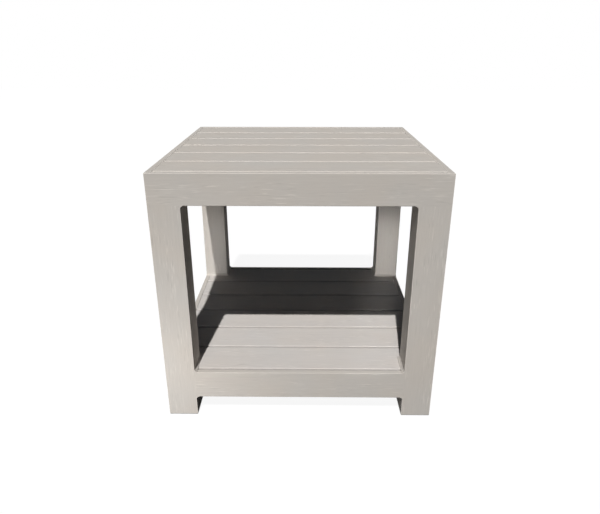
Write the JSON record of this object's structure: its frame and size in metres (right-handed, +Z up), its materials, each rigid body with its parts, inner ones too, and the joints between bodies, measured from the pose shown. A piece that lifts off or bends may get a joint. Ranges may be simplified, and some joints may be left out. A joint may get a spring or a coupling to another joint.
{
  "type": "square side table",
  "caption": "Square outdoor side table of welded square tube, with a slatted top set in a mitred frame and a slatted lower shelf between the legs.",
  "frame": {"origin": "on the floor under the middle of the table", "axes": "+Z up, +X to the right along the slats, front faces -Y"},
  "size_m": [0.55, 0.55, 0.52],
  "materials": {
    "wood_grain_coat": "matt powder coat in warm light grey, with a fine wood grain along each member",
    "foot_plastic": "moulded grey nylon",
    "screw_steel": "plain stainless steel"
  },
  "bodies": {
    "root": {"foot_plug_front_left": "foot_plastic", "foot_plug_front_right": "foot_plastic", "foot_plug_rear_left": "foot_plastic", "foot_plug_rear_right": "foot_plastic", "leg_front_left": "wood_grain_coat", "leg_front_right": "wood_grain_coat", "leg_rear_left": "wood_grain_coat", "leg_rear_right": "wood_grain_coat", "shelf_batten_left": "wood_grain_coat", "shelf_batten_right": "wood_grain_coat", "shelf_batten_welds": "wood_grain_coat", "shelf_deck_screws": "screw_steel", "shelf_rail_front": "wood_grain_coat", "shelf_rail_left": "wood_grain_coat", "shelf_rail_rear": "wood_grain_coat", "shelf_rail_right": "wood_grain_coat", "shelf_slat_1": "wood_grain_coat", "shelf_slat_2": "wood_grain_coat", "shelf_slat_3": "wood_grain_coat", "shelf_slat_4": "wood_grain_coat", "shelf_slat_5": "wood_grain_coat", "shelf_slat_6": "wood_grain_coat", "top_batten_left": "wood_grain_coat", "top_batten_right": "wood_grain_coat", "top_batten_welds": "wood_grain_coat", "top_deck_screws": "screw_steel", "top_rail_front": "wood_grain_coat", "top_rail_left": "wood_grain_coat", "top_rail_rear": "wood_grain_coat", "top_rail_right": "wood_grain_coat", "top_slat_1": "wood_grain_coat", "top_slat_2": "wood_grain_coat", "top_slat_3": "wood_grain_coat", "top_slat_4": "wood_grain_coat", "top_slat_5": "wood_grain_coat", "top_slat_6": "wood_grain_coat", "welds_on_shelf": "wood_grain_coat", "welds_under_shelf_rails": "wood_grain_coat", "welds_under_top_rails": "wood_grain_coat"}
  },
  "joints": []
}
